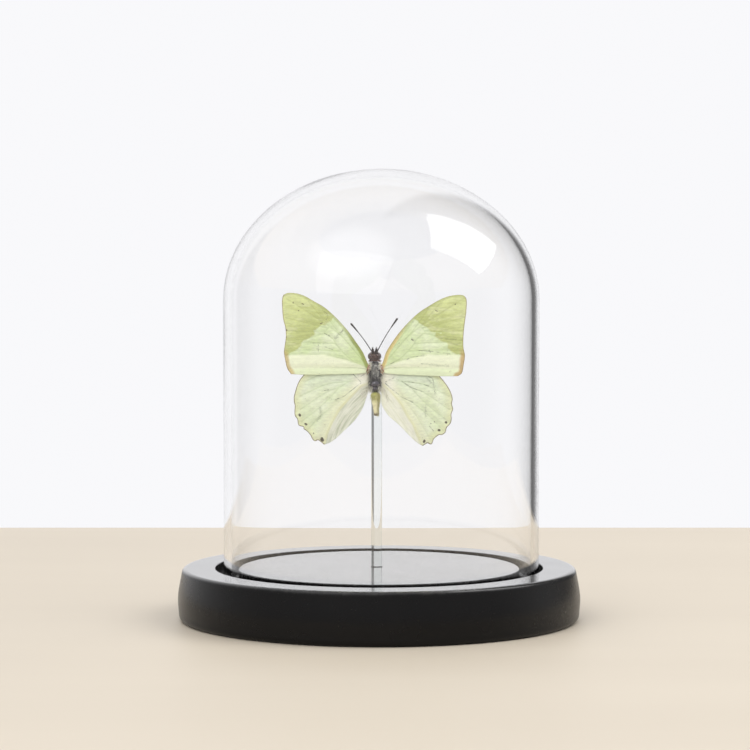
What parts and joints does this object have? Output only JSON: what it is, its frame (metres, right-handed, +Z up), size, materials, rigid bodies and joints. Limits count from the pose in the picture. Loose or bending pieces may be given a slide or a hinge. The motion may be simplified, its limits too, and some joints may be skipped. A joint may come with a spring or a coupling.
{
  "type": "insect in glass dome",
  "caption": "Spread green butterfly on a clear rod, standing on a black grooved base under a clear glass dome.",
  "frame": {"origin": "centre of the base's underside", "axes": "+Z up through the dome; the butterfly's back faces -Y and its right side as seen lies on +X"},
  "size_m": [0.1278, 0.1278, 0.1428],
  "materials": {
    "lacquered_wood": "satin black lacquer",
    "dome_glass": "clear, polished",
    "clear_acrylic": "clear, polished",
    "clear_glue": "clear, cured",
    "thorax_fur": "grey-black fur",
    "head_fur": "dark red-brown, furry",
    "abdomen_skin": "yellowish, dry, downy",
    "feeler": "dark, matt",
    "leg_skin": "dry, scaled",
    "forewing_scales": "dusty green scales",
    "hindwing_scales": "dusty pale green scales"
  },
  "bodies": {
    "root": {"base": "lacquered_wood", "glass_dome": "dome_glass", "rod": "clear_acrylic", "glue_dab": "clear_glue", "thorax": "thorax_fur", "head": "head_fur", "abdomen": "abdomen_skin", "palp_left": "head_fur", "palp_right": "head_fur", "antenna_left": "feeler", "antenna_right": "feeler", "leg_mid_left": "leg_skin", "leg_mid_right": "leg_skin", "leg_hind_left": "leg_skin", "leg_hind_right": "leg_skin", "forewing_left": "forewing_scales", "forewing_right": "forewing_scales", "hindwing_left": "hindwing_scales", "hindwing_right": "hindwing_scales"}
  },
  "joints": []
}
